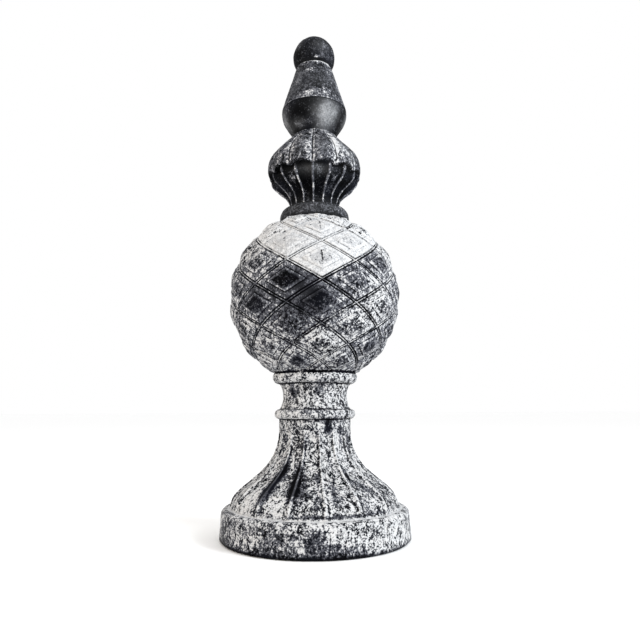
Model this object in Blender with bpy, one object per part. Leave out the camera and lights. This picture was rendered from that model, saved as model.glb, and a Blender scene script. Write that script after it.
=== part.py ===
"""A tall garden finial, cast in one piece and standing on its own round plate.

From the ground up: plate, ribbed bell foot, bead, hollowed neck, bead, ball carved with a
lattice of diamonds, collar, fluted bud under a cap of gores, cone and knob. All of it is one
turned profile, and each carved stretch moves that profile in or out as it goes round.
Metres, +Z up, origin at the middle of the underside, front towards -Y.
"""
import math

import bmesh
import bpy

# Plate that the finial stands on
LEDGE_WIDTH = 0.0035
PLATE_EDGE = 0.0085
PLATE_HEIGHT = 0.0415
PLATE_DRAFT = 0.0012
PLATE_ARRIS = 0.0025

# Bell foot with its ribs
FOOT_RADIUS = 0.1178
FOOT_TOP_RADIUS = 0.0512
FOOT_FLARE_HEIGHT = 0.104
FOOT_SHOULDER = 0.036
FOOT_HOLLOW = 0.066
FOOT_COLLAR_HEIGHT = 0.0151
FOOT_RIBS = 16
FOOT_RIB_TURN = 6.5 / 360
CHANNEL_DEPTH = 0.0036
CHANNEL_FULLNESS = 0.5

# Two beads with the hollowed neck between them
BEAD_INNER_RADIUS = 0.0506
LOW_BEAD_HEIGHT = 0.0135
LOW_BEAD_PROUD = 0.0066
NECK_WAIST_RADIUS = 0.0455
NECK_HEIGHT = 0.0354
HIGH_BEAD_HEIGHT = 0.0195
HIGH_BEAD_PROUD = 0.0100
HIGH_BEAD_END = math.radians(52)

# Ball with its lattice of diamonds
BALL_RADIUS = 0.1200
BALL_TALLNESS = 1.02
DIAMONDS_AROUND = 8
LATTICE_STEP = math.radians(13.2)
LATTICE_LEVEL = math.radians(1.3)
LATTICE_TURN = 4.6 / 360
FRAME_RISE = 0.0018
DIAMOND_RISE = 0.0046

# Collar that sits on the ball
COLLAR_RADIUS = 0.0510
COLLAR_HEIGHT = 0.0245
COLLAR_BULGE = 0.0025

# Fluted bud and the cap of gores that overhangs it
BUD_NECK_RADIUS = 0.0365
BUD_RADIUS = 0.0655
BUD_HEIGHT = 0.0525
BUD_LOW_PULL = 0.60
BUD_HIGH_PULL = 0.57
BUD_SWELL = 0.004
FLUTES = 16
FLUTE_TURN = -2.2 / 360
FLUTE_DEPTH = 0.0050
FLUTE_FULLNESS = 0.6
GORES = 12
GORE_TURN = -2.3 / 360
CAP_RADIUS = 0.0718
CAP_HEIGHT = 0.0648
CAP_SWELL = 0.0322
CAP_SHOULDER = 0.0396
CAP_LIP = 0.0010
CAP_TIP_DROP = 0.0055
GROOVE_DEPTH = 0.0045
ARCH_FULLNESS = 0.7

# Cone on its rounded belly, and the knob
WAIST_RADIUS = 0.0325
BELLY_HEIGHT = 0.0412
BELLY_BULGE = 0.0020
BELLY_LOW_PULL = 0.40
BELLY_HIGH_PULL = 0.55
CONE_RIM_RADIUS = 0.0496
CONE_TOP_RADIUS = 0.0275
CONE_HEIGHT = 0.0722
KNOB_SEAT_RADIUS = 0.0260
KNOB_RADIUS = 0.0325

# How finely each stretch is cut; the shares place the columns inside one channel, flute or gore
PLAIN_COLUMNS = 40
SLIM_COLUMNS = 28
RIB_COLUMNS = (0.0, 0.10, 0.36, 0.64, 0.90)
FLUTE_COLUMNS = (0.0, 0.20, 0.50, 0.80)
GORE_COLUMNS = (0.0, 0.11, 0.31, 0.50, 0.69, 0.89)
EDGE_CUTS = 2
FOOT_CUTS = 10
BEAD_CUTS = 4
NECK_CUTS = 4
LATTICE_CUTS = 3
ROW_MARGIN = 0.25
COLLAR_CUTS = 5
BUD_CUTS = 7
CAP_CUTS = 8
BELLY_CUTS = 5
KNOB_CUTS = 9


def clear_scene():
    for thing in list(bpy.data.objects):
        bpy.data.objects.remove(thing, do_unlink=True)


def even_turns(count, start=0.0):
    return sorted((start + index / count) % 1.0 for index in range(count))


def pattern_turns(repeats, shares, start):
    """Turns of the columns of a pattern that repeats round the axis, in rising order."""
    return sorted((start + (index + share) / repeats) % 1.0 for index in range(repeats) for share in shares)


def share_of_repeat(turn, repeats, start):
    """Where a turn lies in its repeat of the pattern, from 0 at one rib to 1 at the next."""
    return ((turn - start) * repeats) % 1.0


def curve(start, start_pull, end_pull, end, cuts):
    """Points of a smooth cubic between two (radius, height) points, both ends included."""
    points = []
    for index in range(cuts + 1):
        t = index / cuts
        weights = ((1 - t) ** 3, 3 * t * (1 - t) ** 2, 3 * t * t * (1 - t), t ** 3)
        corners = (start, start_pull, end_pull, end)
        points.append(tuple(sum(w * corner[axis] for w, corner in zip(weights, corners)) for axis in (0, 1)))
    return points


def arc(radius, height, across, up, start, end, cuts):
    """Points of an arc about (radius, height), with its own half-width across and half-height up."""
    points = []
    for index in range(cuts + 1):
        angle = start + (end - start) * index / cuts
        points.append((radius + across * math.cos(angle), height + up * math.sin(angle)))
    return points


class Turning:
    """Gathers rings of corners from the ground up and skins them into one closed body."""

    def __init__(self):
        self.mesh = bmesh.new()
        self.last = None

    def ring(self, turns, place, lean=None):
        """Adds a ring: place(turn) is its radius and height there, lean(turn) how each quad splits."""
        corners = []
        for turn in turns:
            radius, height = place(turn)
            angle = 2 * math.pi * turn
            spot = (radius * math.sin(angle), -radius * math.cos(angle), height)
            corners.append((turn, self.mesh.verts.new(spot)))
        if self.last is None:
            self.mesh.faces.new([vert for _, vert in reversed(corners)])
        elif [turn for turn, _ in self.last] == turns:
            self.skin_quads(self.last, corners, lean)
        else:
            self.skin_between(self.last, corners)
        self.last = corners

    def rings(self, turns, points):
        for point in points:
            self.ring(turns, lambda turn: point)

    def skin_quads(self, low, high, lean):
        for index in range(len(low)):
            after = (index + 1) % len(low)
            (turn, a), (next_turn, b) = low[index], low[after]
            d, c = high[index][1], high[after][1]
            middle = turn + ((next_turn - turn) % 1.0) / 2
            if lean is None or lean(middle):
                self.mesh.faces.new((a, b, c))
                self.mesh.faces.new((a, c, d))
            else:
                self.mesh.faces.new((a, b, d))
                self.mesh.faces.new((b, c, d))

    def skin_between(self, low, high):
        """Triangles between rings of unlike columns, each step taken to the nearer next corner."""
        i = j = 0
        while i < len(low) or j < len(high):
            a, d = low[i % len(low)][1], high[j % len(high)][1]
            next_low = low[(i + 1) % len(low)][0] + (i + 1) // len(low)
            next_high = high[(j + 1) % len(high)][0] + (j + 1) // len(high)
            if j == len(high) or (i < len(low) and next_low <= next_high):
                self.mesh.faces.new((a, low[(i + 1) % len(low)][1], d))
                i += 1
            else:
                self.mesh.faces.new((a, high[(j + 1) % len(high)][1], d))
                j += 1

    def close(self, height):
        """Closes the top with a fan to one corner on the axis."""
        tip = self.mesh.verts.new((0, 0, height))
        for index in range(len(self.last)):
            self.mesh.faces.new((self.last[index][1], self.last[(index + 1) % len(self.last)][1], tip))


def turn_plate(body):
    """A flat round plate with a slight draft and a rounded upper edge; returns its top."""
    columns = pattern_turns(FOOT_RIBS, RIB_COLUMNS, FOOT_RIB_TURN)
    edge = FOOT_RADIUS + LEDGE_WIDTH
    foot = edge + PLATE_EDGE + PLATE_DRAFT
    body.rings(columns, [(foot - PLATE_ARRIS, 0.0), (foot, PLATE_ARRIS)])
    body.rings(columns, arc(edge, PLATE_HEIGHT - PLATE_EDGE, PLATE_EDGE, PLATE_EDGE, 0, math.pi / 2,
                            EDGE_CUTS))
    return PLATE_HEIGHT


def turn_foot(body, bottom):
    """A bell that flares down to the plate, hollowed into channels between thin ribs."""
    columns = pattern_turns(FOOT_RIBS, RIB_COLUMNS, FOOT_RIB_TURN)
    top = bottom + FOOT_FLARE_HEIGHT
    points = curve((FOOT_RADIUS, bottom), (FOOT_RADIUS, bottom + FOOT_SHOULDER),
                   (FOOT_TOP_RADIUS, top - FOOT_HOLLOW), (FOOT_TOP_RADIUS, top), FOOT_CUTS)
    for index, (radius, height) in enumerate(points):
        depth = CHANNEL_DEPTH * min(1.0, index / 2, (len(points) - 1 - index) / 2)

        def place(turn):
            share = share_of_repeat(turn, FOOT_RIBS, FOOT_RIB_TURN)
            hollow = math.sin(math.pi * share) ** CHANNEL_FULLNESS
            return radius - depth * hollow, height

        body.ring(columns, place)
    return top + FOOT_COLLAR_HEIGHT


def turn_neck(body, bottom):
    """Two beads with a hollowed neck between them; returns the point where the ball rests."""
    columns = even_turns(PLAIN_COLUMNS)
    quarter = math.pi / 2
    body.rings(columns, arc(BEAD_INNER_RADIUS, bottom + LOW_BEAD_HEIGHT / 2, LOW_BEAD_PROUD,
                            LOW_BEAD_HEIGHT / 2, -quarter, quarter, BEAD_CUTS))
    low, high = bottom + LOW_BEAD_HEIGHT, bottom + LOW_BEAD_HEIGHT + NECK_HEIGHT
    # A cubic reaches its waist where its pulls lie this far in.
    pull = (4 * NECK_WAIST_RADIUS - BEAD_INNER_RADIUS) / 3
    body.rings(columns, curve((BEAD_INNER_RADIUS, low), (pull, low + NECK_HEIGHT / 4),
                              (pull, high - NECK_HEIGHT / 4), (BEAD_INNER_RADIUS, high), NECK_CUTS)[1:])
    points = arc(BEAD_INNER_RADIUS, high + HIGH_BEAD_HEIGHT / 2, HIGH_BEAD_PROUD,
                 HIGH_BEAD_HEIGHT / 2, -quarter, HIGH_BEAD_END, BEAD_CUTS)
    body.rings(columns, points[1:])
    return points[-1]


def lattice_place(turn, latitude):
    """How far a spot is across its diamond each way, 0 on a lattice line and 1/2 in the middle."""
    along = (turn - LATTICE_TURN) * 2 * DIAMONDS_AROUND
    up = (latitude - LATTICE_LEVEL) / LATTICE_STEP
    rising, falling = (along + up) / 2, (along - up) / 2
    return abs(rising - round(rising)), abs(falling - round(falling))


def diamond_rise(turn, latitude):
    """Height of a diamond over the lattice lines: a sloping frame, then a low pyramid."""
    inside = min(lattice_place(turn, latitude))
    frame = min(1.0, inside * 2 * LATTICE_CUTS)
    pyramid = max(0.0, (inside * 2 * LATTICE_CUTS - 1) / (LATTICE_CUTS - 1))
    return FRAME_RISE * frame + (DIAMOND_RISE - FRAME_RISE) * pyramid


def turn_ball(body, seat):
    """A ball that rests on the high bead, covered with diamonds; returns where the collar sits."""
    seat_radius, seat_height = seat
    lowest = -math.acos(seat_radius / BALL_RADIUS)
    highest = math.acos(COLLAR_RADIUS / BALL_RADIUS)
    half_height = BALL_RADIUS * BALL_TALLNESS
    centre = seat_height - half_height * math.sin(lowest)
    columns = even_turns(2 * DIAMONDS_AROUND * LATTICE_CUTS, LATTICE_TURN)
    row = LATTICE_STEP / LATTICE_CUTS
    # Rows that would lie too near the bead or the collar are left out.
    first = math.ceil((lowest - LATTICE_LEVEL) / row + ROW_MARGIN)
    last = math.floor((highest - LATTICE_LEVEL) / row - ROW_MARGIN)
    for index in range(first, last + 1):
        latitude = LATTICE_LEVEL + index * row

        def place(turn):
            rise = diamond_rise(turn, latitude)
            return (BALL_RADIUS + rise) * math.cos(latitude), centre + (half_height + rise) * math.sin(latitude)

        def lean(turn):
            to_rising, to_falling = lattice_place(turn, latitude - row / 2)
            return to_falling < to_rising

        body.ring(columns, place, lean)
    return centre + half_height * math.sin(highest)


def turn_collar(body, bottom):
    """A rounded collar drawn in over its top; returns the foot of the bud."""
    top = bottom + COLLAR_HEIGHT
    points = curve((COLLAR_RADIUS, bottom), (COLLAR_RADIUS + COLLAR_BULGE, bottom + COLLAR_HEIGHT / 2),
                   (COLLAR_RADIUS, top), (BUD_NECK_RADIUS, top), COLLAR_CUTS)
    body.rings(even_turns(PLAIN_COLUMNS), points[:-1])
    return top


def arch(turn):
    """Height of the arch that each gore makes, 0 at the grooves and 1 midway between them."""
    return math.sin(math.pi * share_of_repeat(turn, GORES, GORE_TURN)) ** ARCH_FULLNESS


def turn_bud(body, bottom):
    """A bowl of flutes between thin ribs, which ends under the arched lip of the cap."""
    columns = pattern_turns(FLUTES, FLUTE_COLUMNS, FLUTE_TURN)
    points = curve((BUD_NECK_RADIUS, 0.0), (BUD_NECK_RADIUS, BUD_LOW_PULL * BUD_HEIGHT),
                   (BUD_RADIUS + BUD_SWELL, BUD_HIGH_PULL * BUD_HEIGHT), (BUD_RADIUS, BUD_HEIGHT), BUD_CUTS)
    for index, (radius, height) in enumerate(points):
        depth = FLUTE_DEPTH * min(1.0, index / 3)
        rise = height / BUD_HEIGHT

        def place(turn):
            hollow = math.sin(math.pi * share_of_repeat(turn, FLUTES, FLUTE_TURN)) ** FLUTE_FULLNESS
            drop = CAP_TIP_DROP * (1 - arch(turn)) * rise
            return radius - depth * hollow, bottom + height - drop

        body.ring(columns, place)
    return bottom + BUD_HEIGHT


def turn_cap(body, bottom):
    """Twelve swelling gores that overhang the bowl, with their lower edges arched."""
    columns = pattern_turns(GORES, GORE_COLUMNS, GORE_TURN)
    points = curve((CAP_RADIUS - CAP_LIP, 0.0), (CAP_RADIUS + 2 * CAP_LIP, CAP_SWELL),
                   ((CAP_RADIUS + WAIST_RADIUS) / 2, CAP_SHOULDER), (WAIST_RADIUS, CAP_HEIGHT), CAP_CUTS)
    for radius, height in points[:-1]:
        rise = height / CAP_HEIGHT

        def place(turn):
            drop = CAP_TIP_DROP * (1 - arch(turn)) * (1 - rise) ** 2
            groove = GROOVE_DEPTH * (1 - arch(turn)) * (1 - rise ** 2)
            return radius - groove, bottom + height - drop

        body.ring(columns, place)
    return bottom + CAP_HEIGHT


def turn_cone(body, bottom):
    """A cone with a sharp rim over its rounded belly, and the knob seated in its top."""
    columns = even_turns(SLIM_COLUMNS)
    rim = bottom + BELLY_HEIGHT
    low_pull = ((WAIST_RADIUS + CONE_RIM_RADIUS) / 2, bottom + BELLY_LOW_PULL * BELLY_HEIGHT)
    high_pull = (CONE_RIM_RADIUS + BELLY_BULGE, bottom + BELLY_HIGH_PULL * BELLY_HEIGHT)
    body.rings(columns, curve((WAIST_RADIUS, bottom), low_pull, high_pull, (CONE_RIM_RADIUS, rim), BELLY_CUTS))
    top = rim + CONE_HEIGHT
    body.rings(columns, [((CONE_RIM_RADIUS + CONE_TOP_RADIUS) / 2, (rim + top) / 2), (CONE_TOP_RADIUS, top)])
    seat = math.acos(KNOB_SEAT_RADIUS / KNOB_RADIUS)
    centre = top + KNOB_RADIUS * math.sin(seat)
    body.rings(columns, arc(0.0, centre, KNOB_RADIUS, KNOB_RADIUS, -seat, math.pi / 2, KNOB_CUTS)[:-1])
    body.close(centre + KNOB_RADIUS)


def painted_stone():
    """Cast stone in charcoal paint, with whitewash rubbed over it."""
    material = bpy.data.materials.new("painted_stone")
    material.use_nodes = True
    shader = material.node_tree.nodes["Principled BSDF"]
    shader.inputs["Base Color"].default_value = (0.22, 0.225, 0.235, 1.0)
    shader.inputs["Roughness"].default_value = 0.62
    shader.inputs["Metallic"].default_value = 0.0
    return material


def build_finial():
    body = Turning()
    height = turn_plate(body)
    height = turn_foot(body, height)
    seat = turn_neck(body, height)
    height = turn_ball(body, seat)
    height = turn_collar(body, height)
    height = turn_bud(body, height)
    height = turn_cap(body, height)
    turn_cone(body, height)

    mesh = bpy.data.meshes.new("finial")
    body.mesh.to_mesh(mesh)
    body.mesh.free()
    mesh.shade_smooth()
    mesh.set_sharp_from_angle(angle=math.radians(20))
    mesh.materials.append(painted_stone())
    bpy.context.scene.collection.objects.link(bpy.data.objects.new("finial", mesh))


clear_scene()
build_finial()
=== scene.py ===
# %% [markdown]
# # A painted garden finial
# The finial is one casting, about three quarters of a metre tall: a round plate, a ribbed bell
# foot, a hollowed neck between two beads, a ball cut with diamonds, a collar, a fluted bud under
# a cap of gores, and a cone with a knob. It is painted near-black and rubbed with whitewash.
# The frame gives its exact size and place, so it is loaded first and measured.

# %% Load the frame
import math

import bmesh
import bpy
from mathutils import Matrix, Vector, noise


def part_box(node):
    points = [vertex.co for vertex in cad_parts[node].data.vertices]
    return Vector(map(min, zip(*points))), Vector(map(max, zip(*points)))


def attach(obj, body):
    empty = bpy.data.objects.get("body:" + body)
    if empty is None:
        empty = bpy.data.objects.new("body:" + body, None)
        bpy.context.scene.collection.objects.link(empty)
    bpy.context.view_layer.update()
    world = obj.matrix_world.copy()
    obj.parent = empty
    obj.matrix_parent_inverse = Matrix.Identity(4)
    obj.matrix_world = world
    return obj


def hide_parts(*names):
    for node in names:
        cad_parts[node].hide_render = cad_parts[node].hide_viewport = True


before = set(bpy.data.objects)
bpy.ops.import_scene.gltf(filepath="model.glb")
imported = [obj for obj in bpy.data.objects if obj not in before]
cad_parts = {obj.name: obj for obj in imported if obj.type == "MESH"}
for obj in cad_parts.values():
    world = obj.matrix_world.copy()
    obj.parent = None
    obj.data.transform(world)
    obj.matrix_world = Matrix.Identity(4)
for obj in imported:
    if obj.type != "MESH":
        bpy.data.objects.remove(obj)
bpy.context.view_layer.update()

low_corner, high_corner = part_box("finial")
print("the frame's finial stands", round(high_corner[2] - low_corner[2], 4), "m tall")

# %% [markdown]
# ## The turned profile
# A turner would draw this piece as one outline and spin it. Here every stretch of the outline is
# a short curve or arc between named sizes in metres, so one size can be corrected by itself.

# %% Curves and arcs of the outline
QUARTER = math.pi / 2


def curve(start, start_pull, end_pull, end, cuts):
    """Points of a smooth cubic between two (radius, height) points, both ends included."""
    points = []
    for index in range(cuts + 1):
        t = index / cuts
        weights = ((1 - t) ** 3, 3 * t * (1 - t) ** 2, 3 * t * t * (1 - t), t ** 3)
        corners = (start, start_pull, end_pull, end)
        points.append(tuple(sum(w * corner[axis] for w, corner in zip(weights, corners)) for axis in (0, 1)))
    return points


def arc(radius, height, across, up, start, end, cuts):
    """Points of an arc about (radius, height)."""
    angles = [start + (end - start) * index / cuts for index in range(cuts + 1)]
    return [(radius + across * math.cos(angle), height + up * math.sin(angle)) for angle in angles]


def smooth(low, high, value):
    """0 below low, 1 above high, with a soft step between."""
    t = min(1.0, max(0.0, (value - low) / (high - low)))
    return t * t * (3 - 2 * t)


# %% [markdown]
# ## Spinning and carving
# A Screw modifier could spin the outline, but the carving needs the radius to change as it goes
# round. So each ring of corners asks a small function for its radius and height at every turn,
# and rings with unlike columns are sewn together with triangles. Each corner also stores two
# numbers for the paint: how proud or sunk it is, and how much whitewash lies there. Sunk marks
# also carry painted shade into creases and under overhangs.

# %% The casting, ring by ring
UNEVEN_WEAR, WEAR_REACH = 1.0, 0.016


class Casting:
    def __init__(self):
        self.mesh = bmesh.new()
        self.proud = self.mesh.verts.layers.float.new("proud")
        self.wash = self.mesh.verts.layers.float.new("wash")
        self.last = None

    def corner(self, turn, radius, height, proud, wash):
        angle = 2 * math.pi * turn
        spot = Vector((radius * math.sin(angle), -radius * math.cos(angle), height))
        vert = self.mesh.verts.new(spot)
        wear = 1.0 + UNEVEN_WEAR * noise.noise(spot / WEAR_REACH)
        vert[self.proud] = proud * wear
        vert[self.wash] = wash
        return vert

    def ring(self, turns, place, wash):
        """place(turn) gives radius, height and how proud; wash(turn, height) the whitewash."""
        corners = []
        for turn in turns:
            radius, height, proud = place(turn)
            corners.append((turn, self.corner(turn, radius, height, proud, wash(turn, height))))
        if self.last is None:
            self.mesh.faces.new([vert for _, vert in reversed(corners)])
        else:
            self.sew(self.last, corners)
        self.last = corners

    def rings(self, turns, points, wash, proud=0.0):
        for radius, height in points:
            self.ring(turns, lambda turn: (radius, height, proud), wash)

    def sew(self, low, high):
        """Squares between rings of like columns, else triangles to the nearer next corner."""
        if [turn for turn, _ in low] == [turn for turn, _ in high]:
            for index in range(len(low)):
                after = (index + 1) % len(low)
                self.mesh.faces.new((low[index][1], low[after][1], high[after][1], high[index][1]))
            return
        i = j = 0
        while i < len(low) or j < len(high):
            a, d = low[i % len(low)][1], high[j % len(high)][1]
            next_low = low[(i + 1) % len(low)][0] + (i + 1) // len(low)
            next_high = high[(j + 1) % len(high)][0] + (j + 1) // len(high)
            if j == len(high) or (i < len(low) and next_low <= next_high):
                self.mesh.faces.new((a, low[(i + 1) % len(low)][1], d))
                i += 1
            else:
                self.mesh.faces.new((a, high[(j + 1) % len(high)][1], d))
                j += 1

    def close(self, height, wash):
        tip = self.corner(0, 0, height, 0, wash)
        for index in range(len(self.last)):
            self.mesh.faces.new((self.last[index][1], self.last[(index + 1) % len(self.last)][1], tip))


def even_turns(count):
    return [index / count for index in range(count)]


def pattern_turns(repeats, shares, start):
    """Turns of the columns of a pattern that repeats round the axis, in rising order."""
    return sorted((start + (index + share) / repeats) % 1.0 for index in range(repeats) for share in shares)


def share_of_repeat(turn, repeats, start):
    """Where a turn lies in its repeat of the pattern, from 0 at one rib to 1 at the next."""
    return ((turn - start) * repeats) % 1.0


def mirrored(shares):
    """Shares from 0 up to the middle of a repeat, continued down its other half."""
    return tuple(shares) + tuple(1 - share for share in reversed(shares) if 0 < share < 0.5)


# %% [markdown]
# ## Where the whitewash lies
# The wash was brushed on and rubbed off, so it is thick in some broad areas and nearly gone in
# others. Each area is named by its turn from the front, its height and its reach, and adds to or
# takes from the even wash of the stretch it lies on. The speckle itself comes later, in the shader.

# %% Broad areas of whitewash
EVEN_WASH = {"plate": 0.42, "foot": 0.55, "foot collar": 0.51, "neck": 0.52, "ball": 0.29, "collar": 0.04,
             "bud": -0.04, "cap": 0.14, "belly": -0.12, "cone": 0.03, "knob": -0.11}
# A reach round so wide that the area goes evenly all round.
ALL_ROUND = 9.0
FOOT_AREAS = (
    # turn, height, reach round, reach up, change
    (-0.100, 0.096, 0.014, 0.016, -0.70),
    (-0.110, 0.072, 0.014, 0.017, -0.95),
    (-0.050, 0.097, 0.013, 0.013, -0.50),
    (-0.046, 0.075, 0.015, 0.015, -0.90),
    (0.006, 0.087, 0.009, 0.006, -0.40),
    (-0.024, 0.069, 0.012, 0.010, -0.30),
    (0.005, 0.063, 0.010, 0.014, -0.26),
    (0.041, 0.070, 0.013, 0.014, -0.50),
    (0.094, 0.088, 0.008, 0.008, -0.80),
    (0.051, 0.106, 0.014, 0.009, -0.26),
    (0.118, 0.073, 0.014, 0.009, -0.42),
    (0.094, 0.055, 0.009, 0.008, -0.36),
    (0.170, 0.066, 0.030, 0.014, -0.14),
    (0.060, 0.1485, 0.016, 0.0085, -0.70),
    (0.118, 0.1475, 0.014, 0.0070, -0.60),
    (0.125, 0.1325, 0.008, 0.0070, -0.50),
    (0.015, 0.1300, 0.010, 0.012, -0.34),
    (-0.042, 0.1255, 0.009, 0.012, -0.30),
    (-0.150, 0.1300, 0.014, 0.018, -0.30),
    (0.178, 0.1330, 0.014, 0.016, -0.28),
    (0.079, 0.1175, 0.030, 0.013, 0.26),
    (-0.066, 0.0560, 0.026, 0.012, 0.26),
    (-0.136, 0.0585, 0.026, 0.014, 0.24),
    (0.050, 0.0500, 0.022, 0.006, 0.20),
    (0.0, 0.0415, ALL_ROUND, 0.0018, 0.75),
    (0.030, 0.0455, 0.110, 0.0022, -0.60),
    (0.050, 0.0740, 0.090, 0.034, 0.05),
    (0.0, 0.1400, ALL_ROUND, 0.020, -0.05),
    (0.42, 0.090, 0.030, 0.020, -0.45),
    (0.33, 0.070, 0.014, 0.018, -0.50),
    (-0.30, 0.085, 0.012, 0.020, -0.50),
    (-0.38, 0.060, 0.050, 0.016, 0.22),
    (0.50, 0.140, 0.030, 0.012, -0.40),
    (0.26, 0.120, 0.040, 0.016, 0.20),
)
PLATE_AREAS = (
    (0.135, 0.016, 0.070, 0.024, 0.24),
    (0.041, 0.0285, 0.026, 0.008, 0.26),
    (-0.028, 0.0325, 0.026, 0.006, 0.16),
    (-0.002, 0.0235, 0.016, 0.010, -0.30),
    (-0.056, 0.0265, 0.022, 0.010, -0.22),
    (0.041, 0.0095, 0.040, 0.007, -0.20),
    (-0.175, 0.020, 0.050, 0.040, -0.10),
    (0.0, 0.0015, ALL_ROUND, 0.004, -0.45),
    (0.0, 0.0400, ALL_ROUND, 0.003, 0.06),
    (0.45, 0.020, 0.050, 0.016, -0.30),
    (-0.36, 0.024, 0.060, 0.014, 0.26),
)

# %% Broad areas on the neck and the ball
NECK_AREAS = (
    (-0.118, 0.1985, 0.026, 0.010, -0.55),
    (0.028, 0.2050, 0.034, 0.008, -0.36),
    (0.075, 0.1865, 0.040, 0.009, 0.22),
    (-0.050, 0.1850, 0.040, 0.007, 0.10),
    (0.060, 0.1600, 0.060, 0.004, -0.40),
    (-0.010, 0.1720, 0.090, 0.004, -0.25),
    (0.40, 0.1980, 0.050, 0.010, -0.40),
    (-0.33, 0.1880, 0.050, 0.010, 0.15),
)
BALL_AREAS = (
    (-0.045, 0.3435, 0.040, 0.018, -0.30),
    (-0.146, 0.3465, 0.030, 0.020, -0.20),
    (-0.115, 0.3185, 0.034, 0.018, -0.26),
    (-0.012, 0.3165, 0.036, 0.020, -0.56),
    (0.067, 0.3455, 0.034, 0.018, -0.06),
    (-0.060, 0.2900, 0.034, 0.014, -0.12),
    (0.120, 0.3150, 0.030, 0.026, 0.20),
    (0.084, 0.2885, 0.026, 0.014, 0.20),
    (0.016, 0.2685, 0.016, 0.009, 0.22),
    (0.129, 0.2640, 0.022, 0.014, -0.18),
    (-0.100, 0.2600, 0.040, 0.016, 0.20),
    (0.036, 0.2530, 0.020, 0.010, 0.16),
    (-0.041, 0.2385, 0.030, 0.008, -0.12),
    (0.154, 0.3525, 0.026, 0.020, 0.14),
    (-0.142, 0.2905, 0.020, 0.018, 0.10),
    (0.40, 0.330, 0.060, 0.026, -0.24),
    (-0.36, 0.300, 0.060, 0.030, 0.16),
    (0.30, 0.270, 0.050, 0.024, 0.14),
    (-0.28, 0.345, 0.050, 0.020, -0.22),
)

# %% Broad areas from the bud to the knob
BUD_AREAS = (
    (-0.095, 0.5060, 0.020, 0.007, 0.40),
    (0.015, 0.5100, 0.020, 0.006, 0.30),
    (0.090, 0.5020, 0.016, 0.012, 0.26),
    (-0.060, 0.4850, 0.012, 0.010, 0.16),
    (0.42, 0.5000, 0.030, 0.010, 0.30),
)
BELLY_AREAS = (
    (0.064, 0.6030, 0.052, 0.014, 0.30),
    (-0.100, 0.6120, 0.070, 0.020, -0.10),
    (-0.105, 0.5960, 0.040, 0.005, 0.22),
    (-0.230, 0.6030, 0.040, 0.012, 0.22),
    (0.420, 0.612, 0.060, 0.014, 0.30),
)
CONE_AREAS = (
    (-0.042, 0.6365, 0.040, 0.006, 0.33),
    (0.050, 0.6400, 0.050, 0.007, 0.38),
    (-0.035, 0.6820, 0.040, 0.0035, 0.48),
    (0.020, 0.7000, 0.020, 0.0026, 0.80),
    (0.100, 0.6995, 0.070, 0.0022, 0.50),
    (0.130, 0.6880, 0.034, 0.018, 0.16),
    (0.0, 0.6970, ALL_ROUND, 0.006, 0.12),
    (0.165, 0.6500, 0.030, 0.030, 0.14),
    (0.450, 0.650, 0.060, 0.014, 0.20),
    (-0.30, 0.690, 0.060, 0.010, 0.18),
)
CAP_AREAS = (
    (0.090, 0.5575, 0.014, 0.018, 0.72),
    (0.070, 0.5270, 0.012, 0.014, 0.34),
    (0.120, 0.5320, 0.026, 0.014, 0.20),
    (-0.023, 0.5420, 0.010, 0.022, 0.30),
    (-0.100, 0.5380, 0.007, 0.022, 0.26),
    (-0.074, 0.5400, 0.007, 0.022, 0.30),
    (0.079, 0.5400, 0.008, 0.018, 0.34),
    (0.020, 0.5680, 0.020, 0.008, 0.20),
    (-0.128, 0.5360, 0.016, 0.014, 0.10),
    (-0.45, 0.550, 0.030, 0.020, 0.36),
    (0.36, 0.545, 0.014, 0.018, 0.30),
)
KNOB_AREAS = (
    (0.020, 0.7030, 0.014, 0.0040, 1.30),
    (0.040, 0.7165, 0.060, 0.0100, 0.08),
)


# %% Wash at one spot
def washed(base, areas):
    """A function of turn and height that gives the wash: the base, changed by each area."""
    def wash(turn, height):
        total = base
        for centre, level, around, up, change in areas:
            aside = ((turn - centre + 0.5) % 1.0 - 0.5) / around
            total += change * math.exp(-aside * aside - ((height - level) / up) ** 2)
        return total
    return wash


# %% [markdown]
# ## Plate and bell foot
# The plate is a plain disc with a soft upper edge. The bell above it is hollowed into channels
# that leave thin upright ribs, so the profile stays at the ribs and the channels cut below it.

# %% Turn the plate and the foot
LEDGE_WIDTH = 0.0035
PLATE_EDGE = 0.0085
PLATE_HEIGHT = 0.0415
PLATE_DRAFT = 0.0012
PLATE_ARRIS = 0.0025
FOOT_RADIUS = 0.1178
FOOT_TOP_RADIUS = 0.0512
FOOT_FLARE_HEIGHT = 0.104
FOOT_SHOULDER = 0.036
FOOT_HOLLOW = 0.066
FOOT_COLLAR_HEIGHT = 0.0151
FOOT_RIBS = 16
FOOT_RIB_TURN = 6.5 / 360
CHANNEL_DEPTH = 0.0036
RIB_HALF_SHARE = 0.055
SIDE_CUTS, EDGE_CUTS, FOOT_CUTS = 9, 7, 54

rib_columns = pattern_turns(
    FOOT_RIBS, mirrored((0.0, 0.025, 0.045, 0.065, 0.09, 0.13, 0.19, 0.26, 0.34, 0.42, 0.5)), FOOT_RIB_TURN)


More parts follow.
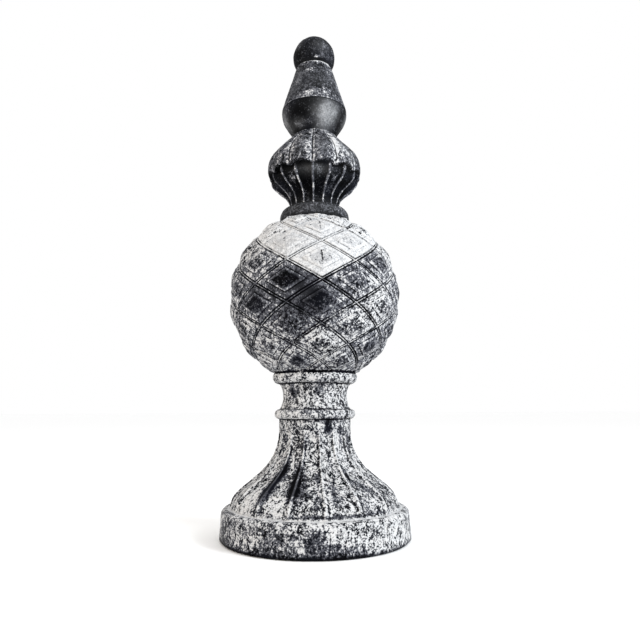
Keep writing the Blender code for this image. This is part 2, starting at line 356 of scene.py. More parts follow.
def turn_plate(body):
    wash = washed(EVEN_WASH["plate"], PLATE_AREAS)
    edge = FOOT_RADIUS + LEDGE_WIDTH
    foot = edge + PLATE_EDGE + PLATE_DRAFT
    middle = curve((foot, PLATE_ARRIS), (foot, PLATE_HEIGHT / 3), (edge + PLATE_EDGE, PLATE_HEIGHT / 2),
                   (edge + PLATE_EDGE, PLATE_HEIGHT - PLATE_EDGE), SIDE_CUTS)
    round_edge = arc(edge, PLATE_HEIGHT - PLATE_EDGE, PLATE_EDGE, PLATE_EDGE, 0, QUARTER, EDGE_CUTS)
    body.rings(rib_columns, [(foot - PLATE_ARRIS, 0.0)], wash, -0.6)
    body.rings(rib_columns, middle[:1], wash, -0.3)
    body.rings(rib_columns, middle[1:], wash)
    body.rings(rib_columns, round_edge[1:], wash, 0.25)
    return PLATE_HEIGHT


def channel(share):
    """How deep the channel is at a share of the way to the next rib, and how proud the rib, less a painted
    shade in the channel beside it.
    """
    aside = min(share, 1 - share)
    hollow = 0.62 * smooth(RIB_HALF_SHARE * 0.5, RIB_HALF_SHARE * 1.7, aside)
    hollow += 0.38 * math.sin(math.pi * share) ** 1.2 * smooth(RIB_HALF_SHARE, 0.3, aside)
    proud = 1.0 - smooth(0.2, 1.1, aside / RIB_HALF_SHARE)
    # a band inside the channel, beside each rib, is marked sunk: painted shade in the channel's hollow
    channel_shade = 0.4 * math.exp(-((aside - 1.9 * RIB_HALF_SHARE) / (0.8 * RIB_HALF_SHARE)) ** 2)
    return hollow, 0.9 * proud - channel_shade


def turn_foot(body, bottom):
    wash = washed(EVEN_WASH["foot"], FOOT_AREAS)
    top = bottom + FOOT_FLARE_HEIGHT
    points = curve((FOOT_RADIUS, bottom), (FOOT_RADIUS, bottom + FOOT_SHOULDER),
                   (FOOT_TOP_RADIUS, top - FOOT_HOLLOW), (FOOT_TOP_RADIUS, top), FOOT_CUTS)
    body.rings(rib_columns, [(FOOT_RADIUS + 0.0015, bottom)], wash, 0.5)
    for radius, height in points[:-1]:
        from_ends = smooth(0, 0.006, height - bottom) * smooth(0, 0.010, top - height)

        def place(turn):
            hollow, proud = channel(share_of_repeat(turn, FOOT_RIBS, FOOT_RIB_TURN))
            toe = 0.5 * (1 - smooth(0, 0.004, height - bottom))
            return radius - CHANNEL_DEPTH * from_ends * hollow, height, proud * from_ends - toe

        body.ring(rib_columns, place, wash)
    return top + FOOT_COLLAR_HEIGHT


casting = Casting()
height_now = turn_plate(casting)
height_now = turn_foot(casting, height_now)
print("plate and foot:", len(casting.mesh.faces), "faces, up to", round(height_now, 4), "m")

# %% [markdown]
# ## Beads and neck
# Two half-round beads close a hollowed neck. The creases beside a bead are painted dark as painted
# shade, so their corners are marked as sunk, and the crest of the bead as slightly proud.

# %% Turn the neck
BEAD_INNER_RADIUS = 0.0506
LOW_BEAD_HEIGHT = 0.0135
LOW_BEAD_PROUD = 0.0066
NECK_WAIST_RADIUS = 0.0455
NECK_HEIGHT = 0.0354
HIGH_BEAD_HEIGHT = 0.0195
HIGH_BEAD_PROUD = 0.0100
HIGH_BEAD_END = math.radians(52)
FOOT_COLLAR_INSET = 0.0004
FOOT_COLLAR_STEPS = (0.0130, 0.0106, 0.0082, 0.0058, 0.0036, 0.0016)
# painted shade in the creases beside each bead
CREASE_SHADE = -1.2
BEAD_CREST = 0.2
BEAD_CUTS, NECK_CUTS = 12, 16

neck_columns = even_turns(144)


def turn_bead(body, points, wash):
    """Rings of one bead, with painted shade in the creases at its two ends."""
    for index, point in enumerate(points):
        crease = min(index, len(points) - 1 - index)
        body.rings(neck_columns, [point], wash, CREASE_SHADE if crease < 2 else BEAD_CREST)


def turn_neck(body, bottom):
    wash = washed(EVEN_WASH["neck"], NECK_AREAS)
    foot_collar = [(FOOT_TOP_RADIUS - FOOT_COLLAR_INSET, bottom - step) for step in FOOT_COLLAR_STEPS]
    body.rings(neck_columns, foot_collar, washed(EVEN_WASH["foot collar"], NECK_AREAS + FOOT_AREAS))
    turn_bead(body, arc(BEAD_INNER_RADIUS, bottom + LOW_BEAD_HEIGHT / 2, LOW_BEAD_PROUD,
                        LOW_BEAD_HEIGHT / 2, -QUARTER, QUARTER, BEAD_CUTS), wash)
    low, high = bottom + LOW_BEAD_HEIGHT, bottom + LOW_BEAD_HEIGHT + NECK_HEIGHT
    pull = (4 * NECK_WAIST_RADIUS - BEAD_INNER_RADIUS) / 3
    hollow = curve((BEAD_INNER_RADIUS, low), (pull, low + NECK_HEIGHT / 4),
                   (pull, high - NECK_HEIGHT / 4), (BEAD_INNER_RADIUS, high), NECK_CUTS)
    body.rings(neck_columns, hollow[1:-1], wash)
    points = arc(BEAD_INNER_RADIUS, high + HIGH_BEAD_HEIGHT / 2, HIGH_BEAD_PROUD,
                 HIGH_BEAD_HEIGHT / 2, -QUARTER, HIGH_BEAD_END, BEAD_CUTS)
    turn_bead(body, points[:-1], wash)
    return points[-1]


ball_seat = turn_neck(casting, height_now)
print("the ball rests at", [round(value, 4) for value in ball_seat])

# %% [markdown]
# ## The ball and its diamonds
# A grid of rows and columns would cut the slanting lattice lines into steps. So the ball's own
# grid runs along the lattice lines, close-set beside them and wider inside the diamonds. That
# keeps the fine raised strip, the two scratched lines and the low pyramid crisp with few faces.
# The grid overshoots at both ends and is cut flat where the bead and the collar meet the ball.

# %% Sizes of the lattice
BALL_RADIUS = 0.1200
BALL_TALLNESS = 1.02
DIAMONDS_AROUND = 8
LATTICE_STEP = math.radians(13.2)
LATTICE_LEVEL = math.radians(1.3)
LATTICE_TURN = 4.6 / 360
# From a lattice line to the middle of a diamond: share of the way across, rise, how proud.
STRIP_STEPS = (
    # the raised strip between its two scratched lines
    (0.0, 0.0009, 0.8), (0.010, 0.0007, 0.5), (0.021, -0.0007, -1.0), (0.045, -0.0006, -0.7),
    # the flat band, with a fine line along its inner edge
    (0.060, 0.0012, 0.50), (0.115, 0.0017, 0.40), (0.185, 0.0018, 0.28), (0.210, 0.0017, -0.58),
    # the low pyramid, its facets marked a little sunk: painted shade that sets them darker than the band
    (0.232, 0.0032, 0.95), (0.32, 0.0038, -0.22), (0.41, 0.0044, -0.20), (0.5, 0.0050, -0.05),
)
CELLS = 2 * (len(STRIP_STEPS) - 1)


def step_of(index):
    """The strip step that a grid line uses, counted from the nearer lattice line."""
    inside = index % CELLS
    return STRIP_STEPS[min(inside, CELLS - inside)]


def share_of(index):
    """Where a grid line lies, in diamonds."""
    inside = index % CELLS
    share = step_of(index)[0]
    return index // CELLS + (share if inside <= CELLS // 2 else 1 - share)


# %% [markdown]
# The wash on the ball follows the carving: the upper diamonds were left white, a band below them
# is nearly bare black paint, and the rest is speckled. Each diamond gets its own amount.

# %% How white each diamond is
WHITE_DIAMONDS = {(0, 1): 0.98, (-1, 2): 0.96, (1, 2): 0.95, (0, 3): 0.96, (-2, 3): 0.80, (2, 3): 0.66,
                  (-1, 4): 0.84, (1, 4): 0.74, (-3, 2): 0.46, (3, 2): 0.52, (-6, 1): 0.90, (-7, 2): 0.96}
SPREAD = 0.22
WHITE_ABOVE_ROW, UPPER_WHITE = 2, 0.80
CREASED = {(0, 1), (0, 3)}
CREASE_RISE = 0.0035
CREASE_SUNK = -0.76
# Where the lattice lines are worn faint, or stand out, listed like the other areas.
FADED_LINES = (
    (-0.005, 0.2960, 0.045, 0.022, -0.80),
    (-0.050, 0.2700, 0.040, 0.016, -0.55),
    (-0.075, 0.3000, 0.026, 0.016, -0.35),
    (0.140, 0.3000, 0.050, 0.030, 0.30),
    (0.360, 0.3200, 0.070, 0.030, -0.60),
    (-0.330, 0.2800, 0.070, 0.030, -0.60),
)


def diamond_wash(along, up, areas):
    """Wash of the diamond whose middle is this many half diamonds from the front and the level row."""
    along = (along + DIAMONDS_AROUND) % (2 * DIAMONDS_AROUND) - DIAMONDS_AROUND
    if (along, up) in WHITE_DIAMONDS:
        return WHITE_DIAMONDS[(along, up)]
    spread = SPREAD * noise.noise(Vector((along * 0.7, up * 0.9, 4.2)))
    if up > WHITE_ABOVE_ROW:
        return UPPER_WHITE + spread
    return areas + spread


# %% Build the ball on its slanting grid
def build_ball(body, centre, lowest, highest):
    """Squares of the slanting grid all round; the ones on a pyramid's ridges are split along them."""
    half_height = BALL_RADIUS * BALL_TALLNESS
    lap_length = 2 * DIAMONDS_AROUND * CELLS
    verts = {}
    speckled = washed(EVEN_WASH["ball"], BALL_AREAS)
    crispness = washed(1.0, FADED_LINES)

    def vert_at(rising, falling):
        lap = (rising + falling) // lap_length
        key = (rising - lap * lap_length // 2, falling - lap * lap_length // 2)
        if key not in verts:
            along = share_of(key[0]) + share_of(key[1])
            up = share_of(key[0]) - share_of(key[1])
            # The nearer of the two lattice lines decides the carving.
            _, rise, proud = min(step_of(key[0]), step_of(key[1]))
            middle = (key[0] // CELLS + key[1] // CELLS + 1, key[0] // CELLS - key[1] // CELLS)
            creased = middle in CREASED and key[0] % CELLS + key[1] % CELLS == CELLS and rise > CREASE_RISE
            latitude = LATTICE_LEVEL + up * LATTICE_STEP
            turn = LATTICE_TURN + along / (2 * DIAMONDS_AROUND)
            height = centre + (half_height + rise) * math.sin(latitude)
            verts[key] = body.corner(turn, (BALL_RADIUS + rise) * math.cos(latitude), height,
                                     proud * crispness(turn, height),
                                     diamond_wash(*middle, speckled(turn, height)))
            if creased:
                verts[key][body.proud] = CREASE_SUNK
        return verts[key]

    faces = []
    first = math.floor((lowest - LATTICE_LEVEL) / LATTICE_STEP) * CELLS
    last = math.ceil((highest - LATTICE_LEVEL) / LATTICE_STEP) * CELLS
    for up in range(first, last):
        for along in range(up % 2, lap_length, 2):
            rising, falling = (along + up) // 2, (along - up) // 2
            left, top = vert_at(rising, falling), vert_at(rising + 1, falling)
            right, foot = vert_at(rising + 1, falling + 1), vert_at(rising, falling + 1)
            if rising % CELLS == falling % CELLS:
                corners = ((left, foot, right), (left, right, top))
            elif rising % CELLS + falling % CELLS == CELLS - 1:
                corners = ((left, foot, top), (foot, right, top))
            else:
                corners = ((left, foot, right, top),)
            faces += [body.mesh.faces.new(face) for face in corners]
    return faces


# %% Cut the ball where it meets its neighbours
def cut_level(body, faces, height, keep_above):
    """Cuts these faces flat and returns their open edge as a ring, in order round the axis."""
    # A dictionary keeps its order where a set does not, so the mesh comes out the same in each run.
    geometry = dict.fromkeys(part for face in faces for part in (face, *face.verts, *face.edges))
    bmesh.ops.bisect_plane(body.mesh, geom=list(geometry), dist=1e-6, plane_co=(0, 0, height),
                           plane_no=(0, 0, -1 if keep_above else 1), clear_outer=True)
    rim_edges = [edge for edge in body.mesh.edges
                 if edge.is_boundary and all(abs(vert.co.z - height) < 1e-5 for vert in edge.verts)]
    rim = dict.fromkeys(vert for edge in rim_edges for vert in edge.verts)
    ring = [((math.atan2(vert.co.x, -vert.co.y) / (2 * math.pi)) % 1.0, vert) for vert in rim]
    return sorted(ring, key=lambda corner: corner[0])


COLLAR_RADIUS = 0.0510
seat_radius, seat_height = ball_seat
ball_lowest = -math.acos(seat_radius / BALL_RADIUS)
ball_highest = math.acos(COLLAR_RADIUS / BALL_RADIUS)
ball_centre = seat_height - BALL_RADIUS * BALL_TALLNESS * math.sin(ball_lowest)
collar_bottom = ball_centre + BALL_RADIUS * BALL_TALLNESS * math.sin(ball_highest)

ball_faces = build_ball(casting, ball_centre, ball_lowest, ball_highest)
lower_half = [face for face in ball_faces if face.calc_center_median().z < ball_centre]
upper_half = [face for face in ball_faces if face.calc_center_median().z >= ball_centre]
casting.sew(casting.last, cut_level(casting, lower_half, seat_height, True))
casting.last = cut_level(casting, upper_half, collar_bottom, False)
print("ball: middle at", round(ball_centre, 4), "m,", len(ball_faces), "faces")

# %% [markdown]
# ## Collar and bud
# The bud is a bowl of sixteen flutes under a cap of twelve swelling gores. The cap overhangs the
# bowl, and each gore's lower edge is arched, so the lip hangs over the flutes in shallow scallops.

# %% Sizes of the collar and the bud
COLLAR_HEIGHT = 0.0245
COLLAR_BULGE = 0.0025
BUD_NECK_RADIUS = 0.0365
BUD_RADIUS = 0.0655
BUD_HEIGHT = 0.0525
BUD_LOW_PULL = 0.60
BUD_HIGH_PULL = 0.57
BUD_SWELL = 0.004
FLUTES = 16
FLUTE_TURN = -2.2 / 360
FLUTE_DEPTH = 0.0050
GORES = 12
GORE_TURN = -2.3 / 360
FLUTE_RIB_SHARE = 0.065
CAP_RADIUS = 0.0718
CAP_HEIGHT = 0.0648
CAP_SWELL = 0.0322
CAP_SHOULDER = 0.0396
CAP_LIP = 0.0010
CAP_TIP_DROP = 0.0055
GROOVE_DEPTH = 0.0045
WAIST_RADIUS = 0.0325
COLLAR_CUTS, BUD_CUTS, CAP_CUTS = 18, 26, 34

flute_columns = pattern_turns(
    FLUTES, mirrored((0.0, 0.025, 0.05, 0.075, 0.11, 0.16, 0.23, 0.31, 0.40, 0.5)), FLUTE_TURN)
gore_columns = pattern_turns(
    GORES, mirrored((0.0, 0.012, 0.03, 0.05, 0.075, 0.11, 0.16, 0.22, 0.29, 0.36, 0.43, 0.5)), GORE_TURN)


# %% Turn the collar and the bowl
def turn_collar(body, bottom):
    lighter_side = (0.14, bottom + 0.01, 0.08, 0.02, 0.08)
    wash = washed(EVEN_WASH["collar"], (lighter_side,))
    top = bottom + COLLAR_HEIGHT
    points = curve((COLLAR_RADIUS, bottom), (COLLAR_RADIUS + COLLAR_BULGE, bottom + COLLAR_HEIGHT / 2),
                   (COLLAR_RADIUS, top), (BUD_NECK_RADIUS, top), COLLAR_CUTS)
    body.rings(neck_columns, points[1:3], wash, -0.7)
    body.rings(neck_columns, points[3:-2], wash)
    body.rings(neck_columns, points[-2:-1], wash, -0.5)
    return top


def arch(turn):
    """Height of the arch that each gore makes, 0 at the grooves and 1 midway between them."""
    return math.sin(math.pi * share_of_repeat(turn, GORES, GORE_TURN)) ** 0.7


def turn_bud(body, bottom):
    wash = washed(EVEN_WASH["bud"], BUD_AREAS)
    points = curve((BUD_NECK_RADIUS, 0.0), (BUD_NECK_RADIUS, BUD_LOW_PULL * BUD_HEIGHT),
                   (BUD_RADIUS + BUD_SWELL, BUD_HIGH_PULL * BUD_HEIGHT), (BUD_RADIUS, BUD_HEIGHT), BUD_CUTS)
    for radius, height in points:
        rise = height / BUD_HEIGHT

        def place(turn):
            share = share_of_repeat(turn, FLUTES, FLUTE_TURN)
            aside = min(share, 1 - share)
            flute = smooth(FLUTE_RIB_SHARE * 0.5, FLUTE_RIB_SHARE * 2.2, aside)
            flute = 0.5 * flute + 0.5 * math.sin(math.pi * share) * flute
            # The ribs are white lower down and fade towards the cap.
            crest = 1.25 - 0.60 * smooth(0.40, 0.85, rise)
            proud = crest - (crest + 0.4) * smooth(FLUTE_RIB_SHARE * 0.5, FLUTE_RIB_SHARE * 1.9, aside)
            drop = CAP_TIP_DROP * (1 - arch(turn)) * rise
            # Painted shade at the top of the flutes, under the overhanging cap.
            shade_under_cap = -0.5 * smooth(0.9, 1.0, rise)
            return (radius - FLUTE_DEPTH * smooth(0, 0.35, rise) * flute, bottom + height - drop,
                    proud + shade_under_cap)

        body.ring(flute_columns, place, wash)
    return bottom + BUD_HEIGHT


# %% Turn the cap
def turn_cap(body, bottom):
    wash = washed(EVEN_WASH["cap"], CAP_AREAS)
    points = curve((CAP_RADIUS - CAP_LIP, 0.0), (CAP_RADIUS + 2 * CAP_LIP, CAP_SWELL),
                   ((CAP_RADIUS + WAIST_RADIUS) / 2, CAP_SHOULDER), (WAIST_RADIUS, CAP_HEIGHT), CAP_CUTS)
    lip = [(CAP_RADIUS - 4 * CAP_LIP, 0.0), (CAP_RADIUS - 1.6 * CAP_LIP, 0.0)]
    for index, (radius, height) in enumerate(lip + points[1:-1]):
        rise = height / CAP_HEIGHT

        def place(turn):
            share = share_of_repeat(turn, GORES, GORE_TURN)
            aside = min(share, 1 - share)
            drop = CAP_TIP_DROP * (1 - arch(turn)) * (1 - rise) ** 2
            groove = GROOVE_DEPTH * (1 - arch(turn)) * (1 - rise ** 2)
            # Dark in the groove, white beside it, white on the lip's edge, and painted shade under the lip.
            proud = -1.1 * (1 - smooth(0.008, 0.035, aside)) * smooth(0.0, 0.012, height)
            proud += 0.85 * math.exp(-((aside - 0.065) / 0.03) ** 2)
            proud += 0.45 * math.exp(-((height - 0.0015) / 0.002) ** 2) if index > 1 else -0.6
            return radius - groove, bottom + height - drop, proud

        body.ring(gore_columns, place, wash)
    return bottom + CAP_HEIGHT


height_now = turn_collar(casting, collar_bottom)
height_now = turn_bud(casting, height_now)
height_now = turn_cap(casting, height_now)
print("the cap ends at", round(height_now, 4), "m")

# %% [markdown]
# ## Cone and knob
# The cone has a sharp rim, rounds under into a belly, and carries a knob seated in its flat top.

# %% Sizes of the cone and the knob
BELLY_HEIGHT = 0.0412
BELLY_BULGE = 0.0020
BELLY_LOW_PULL = 0.40
BELLY_HIGH_PULL = 0.55
CONE_RIM_RADIUS = 0.0496
CONE_TOP_RADIUS = 0.0275
CONE_HEIGHT = 0.0722
RIM_GROOVE = 0.0010
RIM_GROOVE_STEPS = (0.0013, 0.0005)
# painted shade in the fine groove under the cone's rim
RIM_GROOVE_SHADE = -2.2
TOP_CHAMFER = 0.0008
KNOB_SEAT_RADIUS = 0.0260
KNOB_RADIUS = 0.0325
KNOB_SEAM_DARK = -1.5
BELLY_CUTS, CONE_CUTS, KNOB_CUTS = 22, 30, 38

cone_columns = even_turns(120)


# %% Turn the belly, the cone and the knob
def turn_belly(body, bottom):
    wash = washed(EVEN_WASH["belly"], BELLY_AREAS)
    rim = bottom + BELLY_HEIGHT
    low_pull = ((WAIST_RADIUS + CONE_RIM_RADIUS) / 2, bottom + BELLY_LOW_PULL * BELLY_HEIGHT)
    high_pull = (CONE_RIM_RADIUS + BELLY_BULGE, bottom + BELLY_HIGH_PULL * BELLY_HEIGHT)
    points = curve((WAIST_RADIUS, bottom), low_pull, high_pull, (CONE_RIM_RADIUS, rim), BELLY_CUTS)
    body.rings(cone_columns, points[:2], wash, -0.6)
    body.rings(cone_columns, points[2:-1], wash)
    # A band and a fine groove just under the rim are marked sunk: painted shade where the belly turns in
    # under the rim.
    body.rings(cone_columns, [(CONE_RIM_RADIUS + 0.0002, rim - 0.0030)], wash, -0.7)
    groove = [(CONE_RIM_RADIUS - RIM_GROOVE, rim - step) for step in RIM_GROOVE_STEPS]
    body.rings(cone_columns, groove, wash, RIM_GROOVE_SHADE)
    return rim


def turn_cone(body, rim):
    wash = washed(EVEN_WASH["cone"], CONE_AREAS)
    top = rim + CONE_HEIGHT
    side = [(CONE_RIM_RADIUS + (CONE_TOP_RADIUS - CONE_RIM_RADIUS) * step / CONE_CUTS,
             rim + (top - rim) * step / CONE_CUTS) for step in range(1, CONE_CUTS)]
    edge = [(CONE_TOP_RADIUS, top - TOP_CHAMFER / 2), (CONE_TOP_RADIUS - TOP_CHAMFER, top)]
    body.rings(cone_columns, [(CONE_RIM_RADIUS, rim)], wash, 0.7)
    body.rings(cone_columns, side, wash)
    body.rings(cone_columns, edge, wash, 0.9)
    return top


def turn_knob(body, bottom):
    wash = washed(EVEN_WASH["knob"], KNOB_AREAS)
    seat = math.acos(KNOB_SEAT_RADIUS / KNOB_RADIUS)
    centre = bottom + KNOB_RADIUS * math.sin(seat)
    points = arc(0.0, centre, KNOB_RADIUS, KNOB_RADIUS, -seat, QUARTER, KNOB_CUTS)[:-1]
    body.rings(cone_columns, points[:3], wash, KNOB_SEAM_DARK)
    body.rings(cone_columns, points[3:], wash)
    body.close(centre + KNOB_RADIUS, 0.05)
    return centre + KNOB_RADIUS


height_now = turn_belly(casting, height_now)
height_now = turn_cone(casting, height_now)
height_now = turn_knob(casting, height_now)
print("the knob ends at", round(height_now, 4), "m")

# %% [markdown]
# ## Smears and painted sheen
# In a few places the wash was wiped to an even grey film instead of breaking into flakes, most
# of all on the belly under the cone, where the film is partly a painted sheen. On the knob the
# film is a painted sheen. The areas are listed as before; a third number on each corner carries
# the film to the shader.

# %% Where the wash is wiped smooth, and where a sheen is painted
SMEARS_AND_SHEEN = (
    # the first five lie on the belly: partly wiped wash, partly painted sheen
    (0.072, 0.6050, 0.055, 0.016, 1.40),
    (-0.210, 0.6080, 0.040, 0.016, 0.45),
    (0.240, 0.6150, 0.030, 0.014, 0.50),
    (-0.110, 0.5960, 0.050, 0.006, 0.25),
    (0.420, 0.6120, 0.060, 0.014, 0.55),
    # the next three are a painted sheen on the knob
    (0.060, 0.7230, 0.070, 0.010, 0.22),
    (-0.140, 0.7330, 0.050, 0.010, 0.16),
    (0.000, 0.7560, ALL_ROUND, 0.012, 0.20),
    (0.096, 0.5580, 0.018, 0.016, 0.75),
    (0.150, 0.5400, 0.030, 0.014, 0.40),
    (0.010, 0.5450, 0.120, 0.020, 0.16),
    (0.000, 0.5120, 0.060, 0.006, 0.22),
    (0.000, 0.4590, ALL_ROUND, 0.014, 0.12),
    (0.000, 0.6640, ALL_ROUND, 0.032, 0.11),
    (0.210, 0.0200, 0.040, 0.030, 0.55),
    (-0.210, 0.0200, 0.030, 0.030, 0.35),
)


def smear_and_sheen(mesh):
    film = mesh.verts.layers.float.new("smear_and_sheen")
    amount = washed(0.0, SMEARS_AND_SHEEN)
    for vert in mesh.verts:
        turn = math.atan2(vert.co.x, -vert.co.y) / (2 * math.pi)
        vert[film] = amount(turn, vert.co.z)


smear_and_sheen(casting.mesh)

# %% [markdown]
# ## The hand of the caster
# Nothing cast and rubbed by hand is perfectly true. The surface gets a slow swell, small lumps
# and shallow pits, which also nibble at the edges. All of it moves corners of the mesh along
# their normals, so the shape itself has it, not only the shading. The underside stays flat.

# %% Roughen the surface and make the object
SWELL, SWELL_REACH = 0.0005, 0.045
LUMP, LUMP_REACH = 0.00035, 0.009
PIT, PIT_REACH = 0.0007, 0.0055
PIT_PLACE = Vector((7.0, 3.0, 1.0))


def roughen(mesh):
    mesh.normal_update()
    moves = []
    for vert in mesh.verts:
        spot = vert.co
        move = SWELL * noise.noise(spot / SWELL_REACH) + LUMP * noise.noise(spot / LUMP_REACH)
        move -= PIT * smooth(0.35, 0.75, noise.noise(spot / PIT_REACH + PIT_PLACE))
        moves.append(move * smooth(0.0, 0.004, spot.z))
    for vert, move in zip(mesh.verts, moves):
        vert.co += vert.normal * move


def make_finial(body):
    roughen(body.mesh)
    mesh = bpy.data.meshes.new("finial_casting")
    body.mesh.to_mesh(mesh)
    body.mesh.free()
    mesh.shade_smooth()
    mesh.set_sharp_from_angle(angle=math.radians(50))
    piece = bpy.data.objects.new("finial_casting", mesh)
    bpy.context.scene.collection.objects.link(piece)
    return piece


finial = make_finial(casting)
triangles = sum(len(face.vertices) - 2 for face in finial.data.polygons)
print("the casting has", triangles, "triangles")

# %% [markdown]
# ## Shader maths in plain expressions
# A small class wraps a socket so that sums, products and blends are written like arithmetic. Each
# operation adds one Math node. Colours are blended with Mix nodes, which keep them in colour.

# %% A socket that can be used in sums
class Finish:
    """One material and the nodes it is made of."""

    def __init__(self, name):
        self.material = bpy.data.materials.new(name)
        self.material.use_nodes = True
        self.tree = self.material.node_tree
        self.shader = self.tree.nodes["Principled BSDF"]

    def node(self, kind, settings, sockets, output=0):
        """Adds a node: its settings first, then the values or links of its sockets."""
        made = self.tree.nodes.new(kind)
        for name, value in settings.items():
            setattr(made, name, value)
        for name, value in sockets.items():
            self.feed(made.inputs[name], value)
        return Level(self, made.outputs[output])

    def feed(self, socket, value):
        if isinstance(value, Level):
            self.tree.links.new(value.socket, socket)
        else:
            socket.default_value = value

    def math(self, operation, *values):
        return self.node("ShaderNodeMath", {"operation": operation}, dict(enumerate(values)))

    def noise(self, place, scale, detail, roughness, distortion=0.0):
        return self.node("ShaderNodeTexNoise", {}, {
            "Vector": place, "Scale": scale, "Detail": detail, "Roughness": roughness,
            "Distortion": distortion})

    def blend(self, mask, first, second):
        """first where the mask is 0 and second where it is 1, through the node's colour sockets."""
        made = self.tree.nodes.new("ShaderNodeMix")
        made.data_type = "RGBA"
        for socket, value in zip((made.inputs[0], made.inputs[6], made.inputs[7]), (mask, first, second)):
            self.feed(socket, value)
        return Level(self, made.outputs[2])


class Level:
    """A socket with arithmetic."""

    def __init__(self, finish, socket):
        self.finish, self.socket = finish, socket

    def __add__(self, other):
        return self.finish.math("ADD", self, other)

    def __radd__(self, other):
        return self.finish.math("ADD", other, self)

    def __sub__(self, other):
        return self.finish.math("SUBTRACT", self, other)

    def __rsub__(self, other):
        return self.finish.math("SUBTRACT", other, self)

    def __mul__(self, other):
        return self.finish.math("MULTIPLY", self, other)

    def step(self, low, high):
        """0 below low and 1 above high, with a soft step between."""
        return self.finish.node("ShaderNodeMapRange", {"interpolation_type": "SMOOTHSTEP"}, {
            "Value": self, "From Min": low, "From Max": high})

    def size(self):
        return self.finish.math("ABSOLUTE", self)

    def above(self, floor):
        return self.finish.math("MAXIMUM", self, floor)

    def below(self, ceiling):
        return self.finish.math("MINIMUM", self, ceiling)


# %% [markdown]
# ## Black paint under rubbed whitewash
# The finish is two coats. The ground coat is charcoal black, a little bluer and greyer where it
# has dulled. The whitewash over it broke into flakes and specks when it was rubbed off: several
# sizes of noise are added to the stored amount of wash, and a steep step turns the sum into
# crisp flakes. Proud ribs and edges catch more white, and the scratched lines keep the black.
# Other sunk marks keep the black as painted shade: in the creases by the beads, in the channels
# of the foot, on the ball's facets, under the cap and under the cone's rim. Between the flakes a
# thin film turns the black to slate, and the smears turn it to grey; on the knob that grey is a
# painted sheen, and on the belly it is partly one.

# %% The painted stone
BARE_BLACK, DULL_BLACK = (0.0010, 0.0011, 0.0016, 1), (0.0044, 0.0050, 0.0080, 1)
# The grey film is wiped wash, and a painted sheen on the knob and the belly.
SLATE, GREY_FILM_AND_SHEEN = (0.112, 0.116, 0.135, 1), (0.255, 0.262, 0.275, 1)
THIN_CHALK, THICK_CHALK = (0.33, 0.334, 0.346, 1), (0.57, 0.575, 0.586, 1)
WARM_CHALK = (0.50, 0.465, 0.43, 1)
BRUSHED_LONGER = (1.0, 1.0, 0.85)


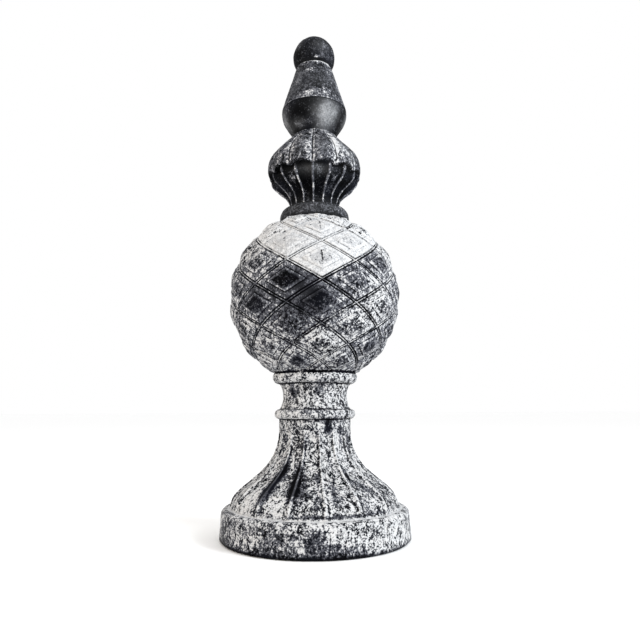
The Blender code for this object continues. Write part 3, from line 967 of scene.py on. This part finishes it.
def painted_stone():
    finish = Finish("painted_stone")
    wash, proud, smear_and_sheen = [finish.node("ShaderNodeAttribute", {"attribute_name": name}, {}, "Fac")
                          for name in ("wash", "proud", "smear_and_sheen")]
    raised = proud.above(0.0)
    sunken = (proud * -1.0).above(0.0)
    scratch_and_shade = (sunken - 0.6).above(0.0)

    # Five sizes of noise. The two that make flakes are drawn out a little upwards.
    place = finish.node("ShaderNodeTexCoord", {}, {}, "Object")
    brushed = finish.node("ShaderNodeVectorMath", {"operation": "MULTIPLY"}, {0: place, 1: BRUSHED_LONGER})
    drifts = finish.noise(place, 24.0, 3.0, 0.5, 0.3)
    patches = finish.noise(brushed, 96.0, 3.0, 0.6, 0.3)
    flakes = finish.noise(brushed, 240.0, 3.0, 0.62, 0.5)
    salt = finish.noise(place, 480.0, 2.0, 0.6)
    grain = finish.noise(place, 1300.0, 2.0, 0.6)

    # How much wash there is at each spot. Bare and fully white stretches are speckled less.
    thick_wash = wash.step(0.74, 0.94) * 0.30
    calm = 0.62 + (wash + raised * 0.4).step(0.0, 0.36) * 0.38 - thick_wash
    speckle = (patches - 0.5) * 1.35 + (flakes - 0.5) * 2.10 + (salt - 0.5) * 2.20
    amount = wash + (drifts - 0.5) * 0.40 + speckle * calm
    # Raised spots take more white and sunk ones less: wear on the ribs and the scratched lines, and painted
    # shade in the creases, the channels, the facets and under the rims.
    amount = amount + raised * 0.34 - sunken * 0.42 - scratch_and_shade * wash * 2.0
    white = amount.step(0.47, 0.56)

    # Between the flakes: black, slate where a film is left, and grey where it was wiped and where a sheen is
    # painted.
    veins = (1.0 - ((flakes - 0.5) * 14.0).size()).above(0.0)
    film = (amount + veins * 0.16 + (grain - 0.5) * 0.7).step(0.03, 0.48)
    film = film * (0.85 - wash.step(0.30, 0.60) * 0.65)
    rubbed = (film + raised * (1.0 - wash.step(0.15, 0.50)) * 0.42).below(1.0)
    wiped_and_sheen = (smear_and_sheen * (0.75 + (patches - 0.5) * 1.4)).above(0.0).below(1.0)
    wiped_and_sheen = wiped_and_sheen * (1.0 + (flakes - 0.5) * 1.2 + (salt - 0.5) * 1.5)
    black = finish.blend(drifts.step(0.4, 0.65), BARE_BLACK, DULL_BLACK)
    ground = finish.blend(wiped_and_sheen, finish.blend(rubbed, black, SLATE), GREY_FILM_AND_SHEEN)

    # The flakes themselves: chalk, brighter where it is thick and here and there warmer.
    thickness = amount - thick_wash + (grain - 0.5) * 0.7 + (salt - 0.5) * 0.6
    chalk = finish.blend(thickness.step(0.40, 1.10), THIN_CHALK, THICK_CHALK)
    chalk = finish.blend(patches.step(0.45, 0.7) * 0.20, chalk, WARM_CHALK)
    finish.feed(finish.shader.inputs["Base Color"], finish.blend(white, ground, chalk))
    finish.feed(finish.shader.inputs["Roughness"], 0.55 + white * 0.27 + (grain - 0.5) * 0.12)

    # The flakes stand a little above the black, and both are gritty.
    relief = white * 0.45 + (flakes - 0.5) * 0.5 + (salt - 0.5) * 0.5 + (grain - 0.5) * 0.25
    bump = finish.node("ShaderNodeBump", {}, {"Strength": 0.55, "Distance": 0.0006, "Height": relief})
    finish.feed(finish.shader.inputs["Normal"], bump)
    finish.shader.inputs["Specular IOR Level"].default_value = 0.02
    print("the painted stone is made of", len(finish.tree.nodes), "nodes")
    return finish.material


finial.data.materials.append(painted_stone())
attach(finial, "root")
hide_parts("finial")

# %% [markdown]
# ## Floor, light and camera
# The photograph is a cut-out on white, taken from close by and a little below the middle, so the
# camera stands near and tilts up. A white floor and a white surround leave the piece by itself.

# %% Floor
FLOOR_REACH = 30.0
FLOOR_GAP = 0.0005
FLOOR_WHITE = (0.985, 0.985, 0.985)


def plain(name, colour, roughness):
    material = bpy.data.materials.new(name)
    material.use_nodes = True
    shader = material.node_tree.nodes["Principled BSDF"]
    shader.inputs["Base Color"].default_value = (*colour, 1.0)
    shader.inputs["Roughness"].default_value = roughness
    return material


def lay_floor():
    mesh = bpy.data.meshes.new("floor")
    corners = [(x * FLOOR_REACH, y * FLOOR_REACH, 0) for x, y in ((-1, -1), (1, -1), (1, 1), (-1, 1))]
    mesh.from_pydata(corners, [], [(0, 1, 2, 3)])
    mesh.materials.append(plain("floor_white", FLOOR_WHITE, 1.0))
    floor = bpy.data.objects.new("floor", mesh)
    floor.location.z = -FLOOR_GAP
    bpy.context.scene.collection.objects.link(floor)


lay_floor()


# %% Lights
def soft_light(name, place, aim, size, power, colour=(1.0, 1.0, 1.0)):
    lamp = bpy.data.lights.new(name, "AREA")
    lamp.shape = "SQUARE"
    lamp.size = size
    lamp.energy = power
    lamp.color = colour
    light = bpy.data.objects.new(name, lamp)
    light.location = place
    light.rotation_euler = (Vector(aim) - Vector(place)).to_track_quat("-Z", "Y").to_euler()
    bpy.context.scene.collection.objects.link(light)


def light_the_room():
    world = bpy.data.worlds.new("white_room")
    world.use_nodes = True
    sky = world.node_tree.nodes["Background"]
    sky.inputs["Color"].default_value = (1.0, 1.0, 1.0, 1.0)
    sky.inputs["Strength"].default_value = 1.0
    bpy.context.scene.world = world
    soft_light("window_light", (1.7, -1.1, 1.3), (0, 0, 0.35), 0.9, 46.0, (0.92, 0.97, 1.0))
    soft_light("warm_fill", (-1.6, -1.2, 0.7), (0, 0, 0.35), 1.4, 14.0, (1.0, 0.85, 0.66))


light_the_room()
bpy.context.scene.view_settings.view_transform = "Standard"

# %% Camera
CAMERA_DISTANCE = 0.8207
CAMERA_HEIGHT = 0.1735
CAMERA_TILT = math.radians(8.98)
CAMERA_TURN = math.radians(-0.54)
CAMERA_ROLL = math.radians(-0.23)
CAMERA_LENS = 31.9


def set_camera():
    camera = bpy.data.cameras.new("camera")
    camera.lens = CAMERA_LENS
    camera.sensor_width = 36.0
    camera.clip_start = 0.01
    stand = bpy.data.objects.new("camera", camera)
    turned = Matrix.Rotation(CAMERA_TURN, 4, "Z") @ Matrix.Rotation(QUARTER + CAMERA_TILT, 4, "X")
    stand.matrix_world = (Matrix.Translation((0, -CAMERA_DISTANCE, CAMERA_HEIGHT)) @ turned
                          @ Matrix.Rotation(CAMERA_ROLL, 4, "Z"))
    bpy.context.scene.collection.objects.link(stand)
    bpy.context.scene.camera = stand


set_camera()
